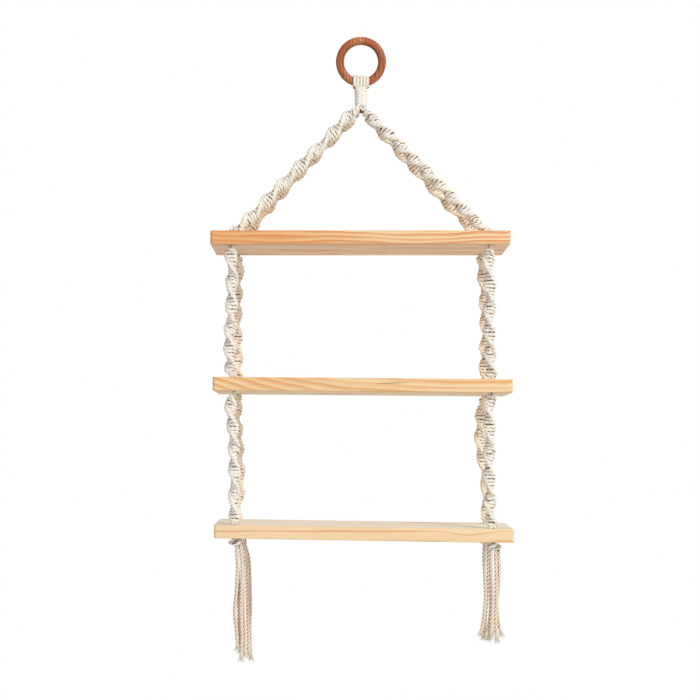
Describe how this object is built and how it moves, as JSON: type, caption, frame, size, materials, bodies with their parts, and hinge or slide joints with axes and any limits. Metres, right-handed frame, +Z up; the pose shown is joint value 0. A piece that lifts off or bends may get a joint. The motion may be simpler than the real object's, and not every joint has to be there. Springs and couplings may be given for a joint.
{
  "type": "hanging rope shelf",
  "caption": "Hanging shelf: pine boards on knotted cotton ropes that gather through a woven neck under a turned wooden ring, with loose tassels below.",
  "frame": {"origin": "inner top of the wooden ring, where the hook bears", "axes": "+Z up, +X to the right along the boards, +Y back towards the wall"},
  "size_m": [0.3594, 0.1206, 0.7602],
  "materials": {
    "ring_wood": "turned reddish-brown hardwood, lightly waxed",
    "pine": "planed pine, clear matt finish",
    "cotton_cord": "three-ply natural cotton cord"
  },
  "bodies": {
    "ring": {"hanging_ring": "ring_wood"},
    "sling": {"ring_fold_1": "cotton_cord", "ring_fold_2": "cotton_cord", "ring_fold_3": "cotton_cord", "ring_fold_4": "cotton_cord", "ring_fold_5": "cotton_cord", "ring_under_fold_2": "cotton_cord", "ring_under_fold_3": "cotton_cord", "ring_under_fold_4": "cotton_cord", "woven_neck": "cotton_cord", "upper_rope_front_left": "cotton_cord", "upper_rope_front_right": "cotton_cord", "upper_rope_back_left": "cotton_cord", "upper_rope_back_right": "cotton_cord", "top_shelf": "pine", "top_shelf_strands_front_left": "cotton_cord", "top_shelf_strands_front_right": "cotton_cord", "top_shelf_strands_back_left": "cotton_cord", "top_shelf_strands_back_right": "cotton_cord"},
    "middle_rope_front_left": {"middle_rope_front_left": "cotton_cord"},
    "middle_rope_front_right": {"middle_rope_front_right": "cotton_cord"},
    "middle_rope_back_left": {"middle_rope_back_left": "cotton_cord"},
    "middle_rope_back_right": {"middle_rope_back_right": "cotton_cord"},
    "middle_tier": {"middle_shelf": "pine", "middle_shelf_strands_front_left": "cotton_cord", "middle_shelf_strands_front_right": "cotton_cord", "middle_shelf_strands_back_left": "cotton_cord", "middle_shelf_strands_back_right": "cotton_cord"},
    "lower_rope_front_left": {"lower_rope_front_left": "cotton_cord"},
    "lower_rope_front_right": {"lower_rope_front_right": "cotton_cord"},
    "lower_rope_back_left": {"lower_rope_back_left": "cotton_cord"},
    "lower_rope_back_right": {"lower_rope_back_right": "cotton_cord"},
    "bottom_tier": {"bottom_shelf": "pine", "bottom_shelf_strands_front_left": "cotton_cord", "bottom_shelf_strands_front_right": "cotton_cord", "bottom_shelf_strands_back_left": "cotton_cord", "bottom_shelf_strands_back_right": "cotton_cord", "knot_front_left": "cotton_cord", "knot_front_right": "cotton_cord", "knot_back_left": "cotton_cord", "knot_back_right": "cotton_cord", "tassel_front_left_1": "cotton_cord", "tassel_front_left_2": "cotton_cord", "tassel_front_left_3": "cotton_cord", "tassel_front_left_4": "cotton_cord", "tassel_front_right_1": "cotton_cord", "tassel_front_right_2": "cotton_cord", "tassel_front_right_3": "cotton_cord", "tassel_front_right_4": "cotton_cord", "tassel_back_left_1": "cotton_cord", "tassel_back_left_2": "cotton_cord", "tassel_back_left_3": "cotton_cord", "tassel_back_left_4": "cotton_cord", "tassel_back_right_1": "cotton_cord", "tassel_back_right_2": "cotton_cord", "tassel_back_right_3": "cotton_cord", "tassel_back_right_4": "cotton_cord"}
  },
  "joints": [
    {"name": "sling_swing", "type": "hinge", "parent": "ring", "child": "sling", "pos_m": [0, 0, -0.046], "axis": [1, 0, 0], "range_deg": [-45, 45]},
    {"name": "middle_sway", "type": "hinge", "parent": "sling", "child": "middle_rope_front_left", "pos_m": [-0.1545, -0.047, -0.25343], "axis": [0, 1, 0], "range_deg": [-12, 12]},
    {"name": "middle_sway_front_right", "type": "hinge", "parent": "sling", "child": "middle_rope_front_right", "pos_m": [0.1515, -0.047, -0.25343], "axis": [0, 1, 0], "range_deg": [-12, 12]},
    {"name": "middle_sway_back_left", "type": "hinge", "parent": "sling", "child": "middle_rope_back_left", "pos_m": [-0.1545, 0.047, -0.25343], "axis": [0, 1, 0], "range_deg": [-12, 12]},
    {"name": "middle_sway_back_right", "type": "hinge", "parent": "sling", "child": "middle_rope_back_right", "pos_m": [0.1515, 0.047, -0.25343], "axis": [0, 1, 0], "range_deg": [-12, 12]},
    {"name": "middle_tier_level", "type": "hinge", "parent": "middle_rope_front_left", "child": "middle_tier", "pos_m": [-0.15166, -0.047, -0.40027], "axis": [0, 1, 0], "range_deg": [-12, 12]},
    {"name": "lower_sway", "type": "hinge", "parent": "middle_tier", "child": "lower_rope_front_left", "pos_m": [-0.15186, -0.047, -0.42653], "axis": [0, 1, 0], "range_deg": [-12, 12]},
    {"name": "lower_sway_front_right", "type": "hinge", "parent": "middle_tier", "child": "lower_rope_front_right", "pos_m": [0.15413, -0.047, -0.42893], "axis": [0, 1, 0], "range_deg": [-12, 12]},
    {"name": "lower_sway_back_left", "type": "hinge", "parent": "middle_tier", "child": "lower_rope_back_left", "pos_m": [-0.15186, 0.047, -0.42653], "axis": [0, 1, 0], "range_deg": [-12, 12]},
    {"name": "lower_sway_back_right", "type": "hinge", "parent": "middle_tier", "child": "lower_rope_back_right", "pos_m": [0.15413, 0.047, -0.42893], "axis": [0, 1, 0], "range_deg": [-12, 12]},
    {"name": "bottom_tier_level", "type": "hinge", "parent": "lower_rope_front_left", "child": "bottom_tier", "pos_m": [-0.15, -0.04722, -0.57493], "axis": [0, 1, 0], "range_deg": [-12, 12]}
  ],
  "couplings": [
    {"joint": "middle_sway_front_right", "follows": "middle_sway", "ratio": 1},
    {"joint": "middle_sway_back_left", "follows": "middle_sway", "ratio": 1},
    {"joint": "middle_sway_back_right", "follows": "middle_sway", "ratio": 1},
    {"joint": "middle_tier_level", "follows": "middle_sway", "ratio": -1},
    {"joint": "lower_sway_front_right", "follows": "lower_sway", "ratio": 1},
    {"joint": "lower_sway_back_left", "follows": "lower_sway", "ratio": 1},
    {"joint": "lower_sway_back_right", "follows": "lower_sway", "ratio": 1},
    {"joint": "bottom_tier_level", "follows": "lower_sway", "ratio": -1}
  ]
}
